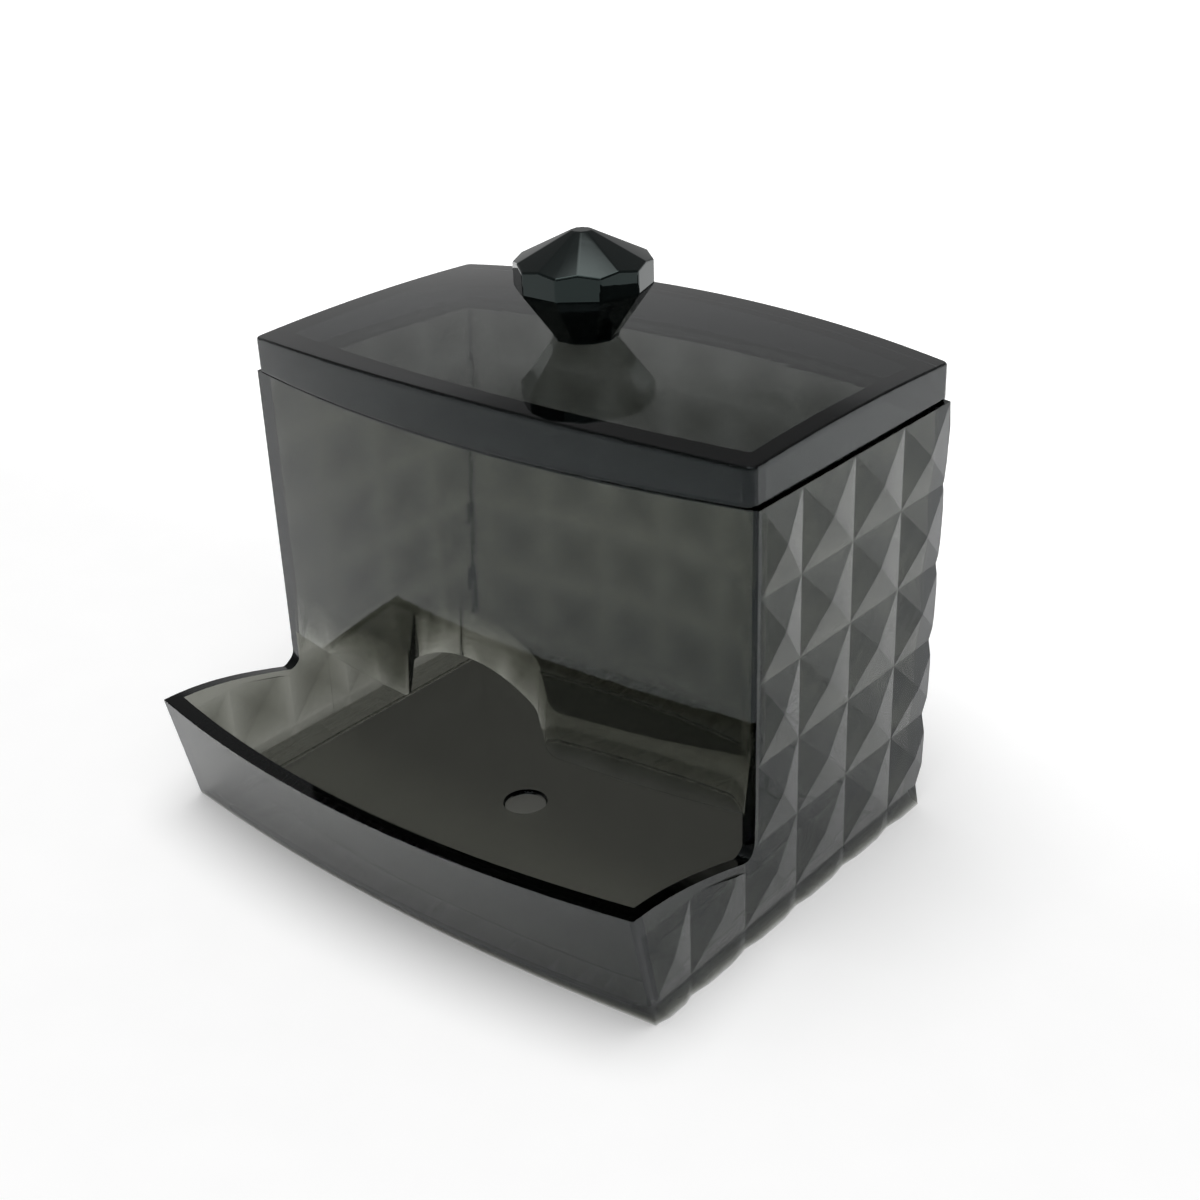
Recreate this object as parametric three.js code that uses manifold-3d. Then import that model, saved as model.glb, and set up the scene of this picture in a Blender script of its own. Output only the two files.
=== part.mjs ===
// Cotton swab container: a smoke-clear moulded box with a dispensing tray at the front,
// a lift-off lid and a faceted knob. Millimetres, +Z up, the tray faces -Y.
import * as THREE from 'three';
import Module from 'manifold-3d';
import { mergeVertices } from 'three/addons/utils/BufferGeometryUtils.js';

const wasm = await Module();
wasm.setup();

// Container: outside, measured at the wall plane, from the lid's centre line
const bodyHeight = 80.8;
const bodyTopWidth = 116.6;
const bodyBottomWidth = 116.0;
const backTopDepth = 29.0;
const backBottomDepth = 23.7;
const panelTopDepth = 28.9;
const panelBottomDepth = 29.6;
const wallBow = 6.4;

// Container: dispensing tray
const trayTipHeight = 23.7;
const trayTipDepth = 61.8;
const trayBottomDepth = 56.9;
const trayBottomBow = 3.8;
const trayFrontWall = 3.0;
const notchHeight = 17.9;
const notchFillet = 3.0;
const panelEdgeHeight = 25.6;

// Container: the opening under the front panel, with an arch for the fingers, and the bevel inside it
const openingCornerRadius = 2.5;
const archHeight = 39.8;
const archWidth = 33.6;
const archLean = 1.2;
const archCrownRadius = 24.0;
const archCornerRadius = 2.5;
const archFillet = 2.5;
const panelBevel = 8.2;
const panelLip = 0.15;

// Container: walls, floor and foot
const wall = 2.3;
const footHeight = 0.8;
const footWidth = 8.0;
const floorThickness = 2.2;
const gateRadius = 4.3;
const gateDepth = 0.7;
const gateFrontDepth = 23.8;

// Pyramid pattern on the side and back walls
const cellWidth = 15.3;
const cellHeight = 15.3;
const cellRelief = 1.1;
const cellRoot = 0.8;
const cornerMargin = 0.8;
const rimMargin = 1.8;

// Lid
const lidSideInset = 0.8;
const lidOverhang = 0.3;
const lidEdgeHeight = 6.9;
const lidCrown = 1.9;
const lidCamber = 0.8;
const lidPlate = 2.4;
const ribWidth = 3.0;
const ribDepth = 1.2;
const ribClearance = 0.4;

// Knob
const knobSides = 10;
const knobFootRadius = 6.0;
const knobFootHeight = 0.4;
const knobGirdleRadius = 12.6;
const knobPavilionHeight = 9.0;
const knobGirdleHeight = 4.3;
const knobCrownHeight = 5.5;
const knobTableRadius = 1.8;
const knobSpigotRadius = 2.6;
const knobSpigotClearance = 0.3;

// Resolution and the overrun of every cut
const bowSteps = 20;
const camberSteps = 8;
const curveSteps = 12;
const roundSteps = 32;
const leastStep = 0.1;
const overrun = 5;

// Heights and places that follow from the sizes above
const floorTop = footHeight + floorThickness;
const lidTop = bodyHeight + lidEdgeHeight + lidCrown + lidCamber;
const rowCount = Math.ceil(bodyHeight / cellHeight);
const backCellCount = Math.ceil((Math.max(bodyTopWidth, bodyBottomWidth) / 2 + cellRelief) / cellWidth);

const between = (from, to, share) => from + (to - from) * share;

// Outside faces of the container at a height z: half width, and depths at the corners
const bodyHalf = (z) => between(bodyBottomWidth, bodyTopWidth, z / bodyHeight) / 2;
const backFace = (z) => between(backBottomDepth, backTopDepth, z / bodyHeight);
const panelFace = (z) => -between(panelBottomDepth, panelTopDepth, z / bodyHeight);
const trayFace = (z) => -between(trayBottomDepth, trayTipDepth, z / trayTipHeight);
const trayBow = (z) => between(trayBottomBow, wallBow, z / trayTipHeight);

// How far a bowed face stands out at x, between corners at -half and +half
const bowAt = (x, half, bow) => bow * (1 - (x / half) ** 2);

// A closed geometry from points and triangles, turned so that its faces point out
function closedGeometry(points, triangles) {
  let volume = 0;
  for (const [a, b, c] of triangles) {
    volume += points[a].dot(new THREE.Vector3().crossVectors(points[b], points[c]));
  }
  const index = triangles.flatMap(([a, b, c]) => (volume < 0 ? [a, c, b] : [a, b, c]));
  const geometry = new THREE.BufferGeometry().setFromPoints(points);
  geometry.setIndex(index);
  return geometry;
}

// A solid through rings of points, all with the same number of points, from low to high
function loft(rings) {
  const count = rings[0].length;
  const triangles = [];
  for (let level = 0; level + 1 < rings.length; level++) {
    for (let i = 0; i < count; i++) {
      const next = (i + 1) % count;
      const low = level * count;
      const high = low + count;
      triangles.push([low + i, low + next, high + next], [low + i, high + next, high + i]);
    }
  }
  const last = (rings.length - 1) * count;
  for (const [a, b, c] of THREE.ShapeUtils.triangulateShape(rings[0], [])) {
    triangles.push([a, c, b]);
  }
  for (const [a, b, c] of THREE.ShapeUtils.triangulateShape(rings.at(-1), [])) {
    triangles.push([last + a, last + b, last + c]);
  }
  return closedGeometry(rings.flat(), triangles);
}

// Places in x, at even steps from one side to the other
const evenStops = (half) => Array.from(
  { length: bowSteps + 1 }, (_, i) => between(-half, half, i / bowSteps));

// One ring of a box whose front and back bow outwards
function bowedRing(z, { half, front, frontBow, back, backBow }) {
  const frontPoints = evenStops(half).map((x) => new THREE.Vector3(x, front - bowAt(x, half, frontBow), z));
  const backPoints = evenStops(half).map((x) => new THREE.Vector3(x, back + bowAt(x, half, backBow), z));
  return [...frontPoints, ...backPoints.reverse()];
}

// Turns a geometry drawn in (y, z, x) into place
const sideways = new THREE.Matrix4().makeBasis(
  new THREE.Vector3(0, 1, 0), new THREE.Vector3(0, 0, 1), new THREE.Vector3(1, 0, 0));

// A side profile drawn in (y, z) and extruded across the whole width
function acrossWidth(profile) {
  const width = bodyTopWidth + 2 * overrun;
  const geometry = new THREE.ExtrudeGeometry(
    profile, { depth: width, bevelEnabled: false, curveSegments: curveSteps });
  return geometry.applyMatrix4(sideways).translate(-width / 2, 0, 0);
}

// A solid for joins and cuts, from a closed geometry
function solidFrom(geometry) {
  const bare = geometry.clone();
  bare.deleteAttribute('normal');
  bare.deleteAttribute('uv');
  const merged = mergeVertices(bare);
  return new wasm.Manifold(new wasm.Mesh({
    numProp: 3,
    vertProperties: new Float32Array(merged.attributes.position.array),
    triVerts: new Uint32Array(merged.index.array),
  }));
}

function meshFrom(name, solid, material) {
  const { vertProperties, triVerts } = solid.getMesh();
  const geometry = new THREE.BufferGeometry();
  geometry.setAttribute('position', new THREE.BufferAttribute(vertProperties, 3));
  geometry.setIndex(new THREE.BufferAttribute(triVerts, 1));
  geometry.computeVertexNormals();
  const mesh = new THREE.Mesh(geometry, material);
  mesh.name = name;
  return mesh;
}

// Pattern rows are counted down from the body's top; the last one is cut by the table plane
const rowHeight = (row) => bodyHeight - row * cellHeight;
const bottomUp = (from, to) => Array.from({ length: to - from + 1 }, (_, i) => rowHeight(to - i));

// Pattern columns on a side wall, counted forward from the back top corner. They run one column past
// the back wall, which cuts them off, and stop short of the front panel above the tray.
const sideColumn = (column) => backTopDepth - column * cellWidth;
const sideColumnCount = Math.ceil((backTopDepth + panelBottomDepth) / cellWidth);

function mainColumns(z) {
  const frontLimit = z > notchHeight ? panelFace(z) + cornerMargin : -Infinity;
  const columns = Array.from({ length: sideColumnCount + 2 }, (_, i) => sideColumnCount - i);
  return columns.map((column) => Math.max(sideColumn(column), frontLimit));
}

function trayColumns(z) {
  const lastColumn = Math.ceil((backTopDepth + trayTipDepth) / cellWidth);
  const stops = [];
  for (let column = lastColumn; column >= sideColumnCount; column--) {
    stops.push(Math.max(sideColumn(column), trayFace(z) + cornerMargin));
  }
  return stops;
}

// A slab whose outer face is a grid of wall points with a four-sided pyramid on each cell
function sheetSolid(grid, outward, depth, relief) {
  const rows = grid.length;
  const columns = grid[0].length;
  const points = [...grid.flat(), ...grid.flat().map((p) => p.clone().addScaledVector(outward, -depth))];
  const root = rows * columns;
  const at = (row, column) => row * columns + column;
  const triangles = [];
  for (let row = 0; row + 1 < rows; row++) {
    for (let column = 0; column + 1 < columns; column++) {
      const corners = [at(row, column), at(row, column + 1), at(row + 1, column + 1), at(row + 1, column)];
      const apex = new THREE.Vector3();
      corners.forEach((i) => apex.addScaledVector(points[i], 1 / corners.length));
      apex.addScaledVector(outward, relief);
      points.push(apex);
      const peak = points.length - 1;
      corners.forEach((corner, i) => triangles.push([corner, corners[(i + 1) % corners.length], peak]));
      const [a, b, c, d] = corners.map((i) => i + root);
      triangles.push([a, c, b], [a, d, c]);
    }
  }
  const edge = [];
  for (let column = 0; column + 1 < columns; column++) edge.push(at(0, column));
  for (let row = 0; row + 1 < rows; row++) edge.push(at(row, columns - 1));
  for (let column = columns - 1; column > 0; column--) edge.push(at(rows - 1, column));
  for (let row = rows - 1; row > 0; row--) edge.push(at(row, 0));
  edge.forEach((a, i) => {
    const b = edge[(i + 1) % edge.length];
    triangles.push([a, a + root, b + root], [a, b + root, b]);
  });
  return solidFrom(closedGeometry(points, triangles));
}

function sideSheet(side, heights, columnsAt) {
  const grid = heights.map((z) => columnsAt(z).map((y) => new THREE.Vector3(side * bodyHalf(z), y, z)));
  return sheetSolid(grid, new THREE.Vector3(side, 0, 0), cellRoot, cellRelief);
}

// The back wall's pattern is centred on the middle. It runs past both corners, and as deep as the whole
// container, so that it cuts the side walls off.
function backSlab() {
  const borders = Array.from({ length: 2 * backCellCount + 2 }, (_, i) => i - backCellCount - 1 / 2);
  const grid = bottomUp(0, rowCount).map((z) => borders.map(
    (cells) => cells * cellWidth).map(
    (x) => new THREE.Vector3(x, backFace(z) + bowAt(x, bodyHalf(z), wallBow), z)));
  return sheetSolid(grid, new THREE.Vector3(0, 1, 0), backTopDepth + trayTipDepth + 2 * wallBow, cellRelief);
}

// The tray's side rim, from a notch at the front panel up to the tip, lowered by a margin
function rimPoints(margin) {
  const start = panelFace(notchHeight) - notchFillet;
  return Array.from({ length: curveSteps + 1 }, (_, i) => {
    const y = between(-trayTipDepth, start, i / curveSteps);
    const climb = Math.sin(((start - y) / (start + trayTipDepth)) * Math.PI / 2);
    return new THREE.Vector2(y, between(notchHeight, trayTipHeight, climb) - margin);
  });
}

function aboveRim() {
  const profile = new THREE.Shape(rimPoints(0));
  const cornerY = panelFace(notchHeight);
  profile.quadraticCurveTo(cornerY, notchHeight, cornerY, notchHeight + notchFillet);
  profile.lineTo(cornerY, trayTipHeight + overrun);
  profile.lineTo(-trayTipDepth - wallBow - overrun, trayTipHeight + overrun);
  profile.lineTo(-trayTipDepth - wallBow - overrun, trayTipHeight);
  return solidFrom(acrossWidth(profile));
}

function belowRimMargin() {
  const points = rimPoints(rimMargin);
  const profile = new THREE.Shape(points);
  profile.lineTo(0, points.at(-1).y);
  profile.lineTo(0, -overrun);
  profile.lineTo(-trayTipDepth, -overrun);
  return solidFrom(acrossWidth(profile));
}

// Everything above the table plane that a pattern sheet may use
function aboveTable() {
  const box = new THREE.BoxGeometry(bodyTopWidth + 2 * overrun, 4 * trayTipDepth, bodyHeight + overrun);
  return solidFrom(box.translate(0, 0, (bodyHeight + overrun) / 2));
}

function traySheets() {
  const rows = bottomUp(rowCount - 3, rowCount);
  return sideSheet(1, rows, trayColumns).add(sideSheet(-1, rows, trayColumns))
    .intersect(belowRimMargin()).intersect(aboveTable());
}

const mainSection = (z, inset) => ({
  half: bodyHalf(z) - inset,
  front: panelFace(z) + inset,
  frontBow: wallBow,
  back: backFace(z) - inset,
  backBow: wallBow,
});

// The part behind the front panel, with its patterned walls, before it is hollowed
function mainBlock() {
  const plain = solidFrom(loft([0, bodyHeight].map((z) => bowedRing(z, {
    ...mainSection(z, 0), back: backFace(z) + cellWidth,
  }))));
  const rows = bottomUp(0, rowCount);
  const sides = sideSheet(1, rows, mainColumns).add(sideSheet(-1, rows, mainColumns)).intersect(aboveTable());
  return plain.add(sides).intersect(backSlab());
}

// The upper border of the opening under the panel, seen from the front, from the side wall to the middle
function openingBorder() {
  const half = archWidth / 2;
  const cornerX = half - archLean - archCornerRadius;
  const crownRest = archCrownRadius - archCornerRadius;
  const shoulder = Math.acos(cornerX / crownRest);
  const crownCentre = archHeight - archCrownRadius;
  const wallX = bodyHalf(panelEdgeHeight) - wall - openingCornerRadius;
  const border = new THREE.Path();
  border.absarc(wallX, panelEdgeHeight - openingCornerRadius, openingCornerRadius, 0, Math.PI / 2);
  border.absarc(half + archFillet, panelEdgeHeight + archFillet, archFillet, -Math.PI / 2, -Math.PI, true);
  border.absarc(cornerX, crownCentre + crownRest * Math.sin(shoulder), archCornerRadius, 0, shoulder);
  border.absarc(0, crownCentre, archCrownRadius, shoulder, Math.PI / 2);
  return border.getPoints(curveSteps / 4);
}

// The opening as a solid between two depths behind the panel's outer face, climbing on its way in
function openingSolid(low, start, end, climb) {
  const border = openingBorder().reverse();
  const side = border.at(-1).x;
  const topAt = (x) => {
    const i = Math.max(1, border.findIndex((point) => point.x >= x));
    const [a, b] = [border[i - 1], border[i]];
    return between(a.y, b.y, (x - a.x) / (b.x - a.x));
  };
  const places = [...border.map((point) => point.x), ...evenStops(side).filter((x) => x > 0)];
  const right = places.sort((a, b) => a - b).filter((x, i) => i === 0 || x - places[i - 1] > leastStep);
  const stops = [...right.slice(1).map((x) => -x).reverse(), ...right];
  return solidFrom(loft(stops.map((x) => {
    const face = panelFace(panelEdgeHeight) - bowAt(x, bodyHalf(panelEdgeHeight), wallBow);
    const top = topAt(Math.abs(x));
    return [[start, low], [end, low + climb], [end, top + climb], [start, top]].map(
      ([depth, z]) => new THREE.Vector3(face + depth, z, x));
  })).applyMatrix4(sideways));
}

function containerBody() {
  const traySection = (z, side, front, back) => ({
    half: bodyHalf(z) - side, front: trayFace(z) + front, frontBow: trayBow(z), back, backBow: 0,
  });
  const hiddenBack = panelFace(0) / 2;
  const tray = solidFrom(loft([0, trayTipHeight].map((z) => bowedRing(z, traySection(z, 0, 0, hiddenBack)))));
  const cavity = solidFrom(loft([floorTop, bodyHeight + overrun].map(
    (z) => bowedRing(z, mainSection(z, wall)))));
  const trayRoom = solidFrom(loft([floorTop, panelEdgeHeight].map((z) => bowedRing(z, {
    ...traySection(z, wall, trayFrontWall, panelFace(z) + panelLip / 2), backBow: -wallBow,
  }))));
  const opening = openingSolid(floorTop, -overrun, wall + overrun, 0);
  const climbShare = panelBevel / (wall - panelLip);
  const bevelReach = wall + overrun;
  const bevel = openingSolid(
    panelEdgeHeight - 2 * panelBevel, panelLip, bevelReach, (bevelReach - panelLip) * climbShare);
  const footSection = {
    half: bodyHalf(0) - footWidth, front: trayFace(0) + footWidth, frontBow: trayBottomBow,
    back: backFace(0) - footWidth, backBow: wallBow,
  };
  const foot = solidFrom(loft([-overrun, footHeight].map((z) => bowedRing(z, footSection))));
  const gate = solidFrom(new THREE.CylinderGeometry(gateRadius, gateRadius, overrun, roundSteps)
    .rotateX(Math.PI / 2).translate(0, -gateFrontDepth, floorTop - gateDepth + overrun / 2));
  const outside = tray.subtract(aboveRim()).add(mainBlock()).add(traySheets());
  return outside.subtract(cavity).subtract(trayRoom).subtract(opening).subtract(bevel)
    .subtract(foot).subtract(gate);
}

// A block under the lid's top, which arches across the width and from front to back; drop lowers it
function domedBlock(outline, drop) {
  const stops = [-outline.half - overrun, ...evenStops(outline.half), outline.half + overrun];
  const middle = (outline.front + outline.back) / 2;
  const grid = Array.from({ length: camberSteps + 3 }, (_, row) => {
    const share = between(-1, 1, (row - 1) / camberSteps);
    const camber = bowAt(share, 1, lidCamber);
    return stops.map((x) => {
      const reach = outline.back - middle + bowAt(x, outline.half, outline.backBow);
      const height = bodyHeight + lidEdgeHeight + bowAt(x, outline.half, lidCrown) + camber;
      return new THREE.Vector3(x, middle + share * reach, height - drop);
    });
  });
  return sheetSolid(grid, new THREE.Vector3(0, 0, 1), lidTop, 0);
}

function lid() {
  const half = bodyHalf(bodyHeight) - lidSideInset;
  const outline = {
    half, front: -panelTopDepth - lidOverhang, frontBow: wallBow,
    back: backTopDepth + lidOverhang, backBow: wallBow,
  };
  const ribBottom = bodyHeight - ribDepth;
  const inset = wall + ribClearance;
  const ribOutline = {
    half: bodyHalf(ribBottom) - inset, front: -panelTopDepth + inset, frontBow: wallBow,
    back: backFace(ribBottom) - inset, backBow: wallBow,
  };
  const recessOutline = {
    ...ribOutline, half: ribOutline.half - ribWidth,
    front: ribOutline.front + ribWidth, back: ribOutline.back - ribWidth,
  };
  const prism = (low, high, section) => solidFrom(loft([low, high].map((z) => bowedRing(z, section))));
  const cap = prism(bodyHeight, lidTop + overrun, outline).intersect(domedBlock(outline, 0));
  const rib = prism(ribBottom, bodyHeight + lidPlate, ribOutline);
  const recess = prism(ribBottom - overrun, lidTop, recessOutline).intersect(domedBlock(outline, lidPlate));
  const holeRadius = knobSpigotRadius + knobSpigotClearance;
  const holeLength = 2 * (lidPlate + overrun);
  const hole = solidFrom(new THREE.CylinderGeometry(holeRadius, holeRadius, holeLength, roundSteps)
    .rotateX(Math.PI / 2).translate(0, 0, lidTop));
  return cap.add(rib).subtract(recess).subtract(hole);
}

// An upright solid with flat sides; rings are [radius at the corners, z], and turnShare turns it by a
// share of half a side from where a corner points to +X
function facetedSolid(rings, turnShare) {
  const turn = Math.PI / knobSides * turnShare;
  return solidFrom(loft(rings.map(([radius, z]) => Array.from({ length: knobSides }, (_, i) => {
    const angle = turn + i / knobSides * 2 * Math.PI;
    return new THREE.Vector3(radius * Math.cos(angle), radius * Math.sin(angle), z);
  }))));
}

// The knob is cut like a gem: a flared pavilion, an upright girdle, and a crown turned half a side
function knob() {
  const footTop = lidTop + knobFootHeight;
  const girdleBottom = footTop + knobPavilionHeight;
  const girdleTop = girdleBottom + knobGirdleHeight;
  const tableTop = girdleTop + knobCrownHeight;
  const stone = facetedSolid([
    [knobFootRadius, lidTop], [knobFootRadius, footTop],
    [knobGirdleRadius, girdleBottom], [knobGirdleRadius, tableTop],
  ], 0);
  const cornerShare = Math.cos(Math.PI / knobSides);
  const slope = (knobGirdleRadius - knobTableRadius) / knobCrownHeight;
  const skirtRadius = knobGirdleRadius + slope * (girdleTop - lidTop + overrun);
  const crown = facetedSolid([
    [skirtRadius / cornerShare, lidTop - overrun], [knobTableRadius / cornerShare, tableTop],
  ], 1);
  const spigot = solidFrom(new THREE.CylinderGeometry(
    knobSpigotRadius, knobSpigotRadius, lidPlate + knobFootHeight, roundSteps)
    .rotateX(Math.PI / 2).translate(0, 0, lidTop + (knobFootHeight - lidPlate) / 2));
  return stone.intersect(crown).add(spigot);
}

const smokeClear = new THREE.MeshStandardMaterial({
  color: '#4f534d', roughness: 0.12, metalness: 0, transparent: true, opacity: 0.6, flatShading: true,
});
const smokeLid = new THREE.MeshStandardMaterial({
  color: '#42474a', roughness: 0.1, metalness: 0, transparent: true, opacity: 0.65, flatShading: true,
});
const smokeKnob = new THREE.MeshStandardMaterial({
  color: '#141a1a', roughness: 0.08, metalness: 0, flatShading: true,
});

const container = new THREE.Group();
container.add(meshFrom('container_body', containerBody(), smokeClear));
const lidGroup = new THREE.Group();
lidGroup.add(meshFrom('lid', lid(), smokeLid));
lidGroup.add(meshFrom('knob', knob(), smokeKnob));
container.add(lidGroup);

// The origin is the middle of the footprint, on the table
const extent = new THREE.Box3().setFromObject(container);
container.position.y = -(extent.min.y + extent.max.y) / 2;

export default container;
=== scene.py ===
# A cotton swab container in smoke-clear plastic: a moulded box with a bowed front panel, a dispensing
# tray at its foot and a pyramid pattern on its side and back walls, under a lift-off lid with a knob
# cut like a gem. Metres, +Z up, the tray faces -Y.

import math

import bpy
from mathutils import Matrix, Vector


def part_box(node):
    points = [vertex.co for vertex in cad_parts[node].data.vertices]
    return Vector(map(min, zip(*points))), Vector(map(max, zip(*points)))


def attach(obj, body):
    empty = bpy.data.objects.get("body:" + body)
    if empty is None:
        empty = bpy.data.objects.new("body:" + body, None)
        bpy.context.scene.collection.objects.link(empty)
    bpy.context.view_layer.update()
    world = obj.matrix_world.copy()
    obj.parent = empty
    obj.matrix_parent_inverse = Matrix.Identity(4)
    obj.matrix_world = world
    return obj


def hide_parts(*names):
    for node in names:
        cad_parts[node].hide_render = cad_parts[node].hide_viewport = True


bl_info = {
    "name": "Cotton Swab Container",
    "version": (1, 0, 0),
    "blender": (4, 5, 0),
    "location": "3D View > Sidebar > Swab Box",
    "description": "Models a smoke-clear swab box with a dispensing tray, a lift-off lid and a gem-cut knob",
    "category": "Add Mesh",
}

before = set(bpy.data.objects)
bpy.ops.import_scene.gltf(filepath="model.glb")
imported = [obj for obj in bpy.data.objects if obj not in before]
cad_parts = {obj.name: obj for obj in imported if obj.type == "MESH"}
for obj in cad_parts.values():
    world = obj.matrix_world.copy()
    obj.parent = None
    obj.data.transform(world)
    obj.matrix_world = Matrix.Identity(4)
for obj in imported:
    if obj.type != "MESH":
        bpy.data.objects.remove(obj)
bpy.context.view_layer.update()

KNOB_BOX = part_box("knob")

MM = 0.001

# The knob stands on the lid's centre line, which all depths below are measured from
CENTRE_Y = (KNOB_BOX[0][1] + KNOB_BOX[1][1]) / 2

# Two places closer together than this are one place
NEAR = 0.02 * MM

# How far a cutter runs past what it cuts
OVERRUN = 5 * MM

# How finely curves are drawn: a bow across the width, the lid's dome from front to back, an arc, a circle
# and a rounded edge
BOW_STEPS = 40
DEPTH_STEPS = 12
CURVE_STEPS = 16
ROUND_STEPS = 64
EDGE_STEPS = 3

# A face looks along an axis when this share of its normal does
SQUARE_ON = 0.9

# A face belongs to a block's top or underside when this share of its normal is upright
LEVEL = 0.7

# Two faces that turn by more than this meet in an edge, and by less than the second are one smooth surface
CREASE_ANGLE = math.radians(40)
SMOOTH_ANGLE = math.radians(6)

# An edge that climbs by more than this many times the rounding beside it is an upright corner
UPRIGHT_CLIMB = 4

# Share of the gate mark's depth that the rounding round its bottom takes
GATE_ROUNDING = 0.9


def length(name, description, millimetres):
    """A size that the user can change, given in millimetres."""
    return bpy.props.FloatProperty(
        name=name, description=description, default=millimetres * MM, min=0, precision=4,
        subtype='DISTANCE', unit='LENGTH')


def linear(hex_colour):
    """An sRGB hex colour as the linear values that a shader takes."""
    channels = [int(hex_colour[i:i + 2], 16) / 255 for i in (1, 3, 5)]
    return tuple(c / 12.92 if c <= 0.04045 else ((c + 0.055) / 1.055) ** 2.4 for c in channels)


def colour(name, description, hex_colour):
    """A colour that the user can change, given as sRGB hex."""
    return bpy.props.FloatVectorProperty(
        name=name, description=description, default=linear(hex_colour), min=0, max=1, subtype='COLOR')


class SwabBoxBodySizes(bpy.types.PropertyGroup):
    """Sizes of the container; depths are measured from the lid's centre line at the wall's corners."""
    height: length("Height", "Height of the walls under the lid", 80.8)
    top_width: length("Top width", "Width across the wall planes at the top", 116.6)
    bottom_width: length("Bottom width", "Width across the wall planes at the table", 116.0)
    back_top: length("Back depth, top", "Depth of the back wall's corners at the top", 29.0)
    back_bottom: length("Back depth, bottom", "Depth of the back wall's corners at the table", 23.7)
    panel_top: length("Panel depth, top", "Depth of the front panel's corners at the top", 28.9)
    panel_bottom: length("Panel depth, bottom", "Depth of the front panel's corners at the table", 29.6)
    bow: length("Bow", "How far the panel, the back and the tray stand out at the middle", 6.4)
    tip_height: length("Tray tip height", "Height of the tray's front rim", 23.7)
    tip_depth: length("Tray tip depth", "Depth of the tray's front corners at the rim", 61.8)
    tray_bottom: length("Tray bottom depth", "Depth of the tray's front corners at the table", 56.9)
    tray_bottom_bow: length("Tray bottom bow", "How far the tray's front stands out at the table", 3.8)
    tray_wall: length("Tray wall", "Thickness of the tray's front wall", 3.0)
    notch_height: length("Notch height", "Height of the tray's side rim where it meets the panel", 17.9)
    notch_fillet: length("Notch fillet", "Radius of the rim where it turns up into the panel", 3.0)
    panel_edge: length("Panel edge height", "Height of the front panel's lower edge", 25.6)
    arch_height: length("Arch height", "Height of the arch's top in the middle of the panel's edge", 39.8)
    arch_width: length("Arch width", "Width of the arch at its foot", 33.6)
    arch_lean: length("Arch lean", "How far each side of the arch leans inwards on its way up", 1.2)
    arch_crown: length("Arch crown", "Radius of the arch's top", 24.0)
    arch_corner: length("Arch corner", "Radius of the arch's upper corners", 2.5)
    arch_fillet: length("Arch fillet", "Radius where the arch meets the panel's edge", 2.5)
    bevel: length("Bevel", "Height over which the panel thins from inside towards its lower edge", 8.2)
    lip: length("Lip", "Thickness that the bevel leaves at the panel's lower edge", 0.15)
    wall: length("Wall", "Thickness of the walls", 2.3)
    foot_height: length("Foot height", "Height of the foot under the floor", 0.8)
    foot_width: length("Foot width", "Width of the flat border that the box stands on", 8.0)
    floor: length("Floor", "Thickness of the floor", 2.2)
    gate_radius: length("Gate radius", "Radius of the mark that the mould's gate left in the floor", 4.3)
    gate_depth: length("Gate depth", "Depth of the gate mark", 0.7)
    gate_front: length("Gate distance", "Distance of the gate mark in front of the centre line", 23.8)
    cell: length("Cell", "Width and height of one pyramid of the pattern", 15.3)
    relief: length("Relief", "How far a pyramid stands out of its wall", 1.1)
    corner_margin: length("Corner margin", "Plain strip between the pattern and a front corner", 0.8)
    rim_margin: length("Rim margin", "Plain strip between the pattern and the tray's rim", 1.8)
    corner_radius: length("Inner corner radius", "Radius of the upright corners inside", 1.5)
    mouth_radius: length("Mouth radius", "Radius of the upper corners of the opening under the panel", 2.5)


class SwabBoxLidSizes(bpy.types.PropertyGroup):
    """Sizes of the lid."""
    side_inset: length("Side inset", "How far the lid's sides stand back from the walls", 0.8)
    overhang: length("Overhang", "How far the lid's front and back stand out past the walls", 0.3)
    edge_height: length("Edge height", "Height of the lid's sides at the corners", 6.9)
    crown: length("Crown", "Rise of the lid's top across the width", 1.9)
    camber: length("Camber", "Rise of the lid's top from front to back", 0.8)
    plate: length("Plate", "Thickness of the lid's top", 2.4)
    rib_width: length("Rib width", "Width of the rib that keeps the lid in place", 3.0)
    rib_depth: length("Rib depth", "How far the rib reaches into the container", 1.2)
    rib_clearance: length("Rib clearance", "Gap between the rib and the container's walls", 0.4)
    corner_radius: length("Corner radius", "Radius of the lid's upright corners", 1.2)
    edge_radius: length("Edge radius", "Rounding of the lid's edges", 0.45)
    seam: length("Seam", "Air gap that shows as a black line between the lid and the container", 0.1)
    hole_radius: length("Hole radius", "Radius of the hole for the knob's spigot", 2.9)


class SwabBoxKnobSizes(bpy.types.PropertyGroup):
    """Sizes of the knob, from its foot up."""
    sides: bpy.props.IntProperty(name="Sides", description="Number of flat sides", default=10, min=6)
    foot_radius: length("Foot radius", "Radius of the foot at its corners", 6.0)
    foot_height: length("Foot height", "Height of the upright foot", 0.4)
    pavilion_height: length("Pavilion height", "Height of the flared lower part", 9.0)
    girdle_radius: length("Girdle radius", "Radius of the girdle at its corners", 12.6)
    girdle_height: length("Girdle height", "Height of the upright girdle at its corners", 4.3)
    crown_height: length("Crown height", "Height of the sloping crown", 5.5)
    table_radius: length("Table radius", "Radius of the flat top", 1.8)
    spigot_radius: length("Spigot radius", "Radius of the spigot in the lid", 2.6)
    edge_radius: length("Edge radius", "Rounding of the facets' edges", 0.3)


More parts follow.
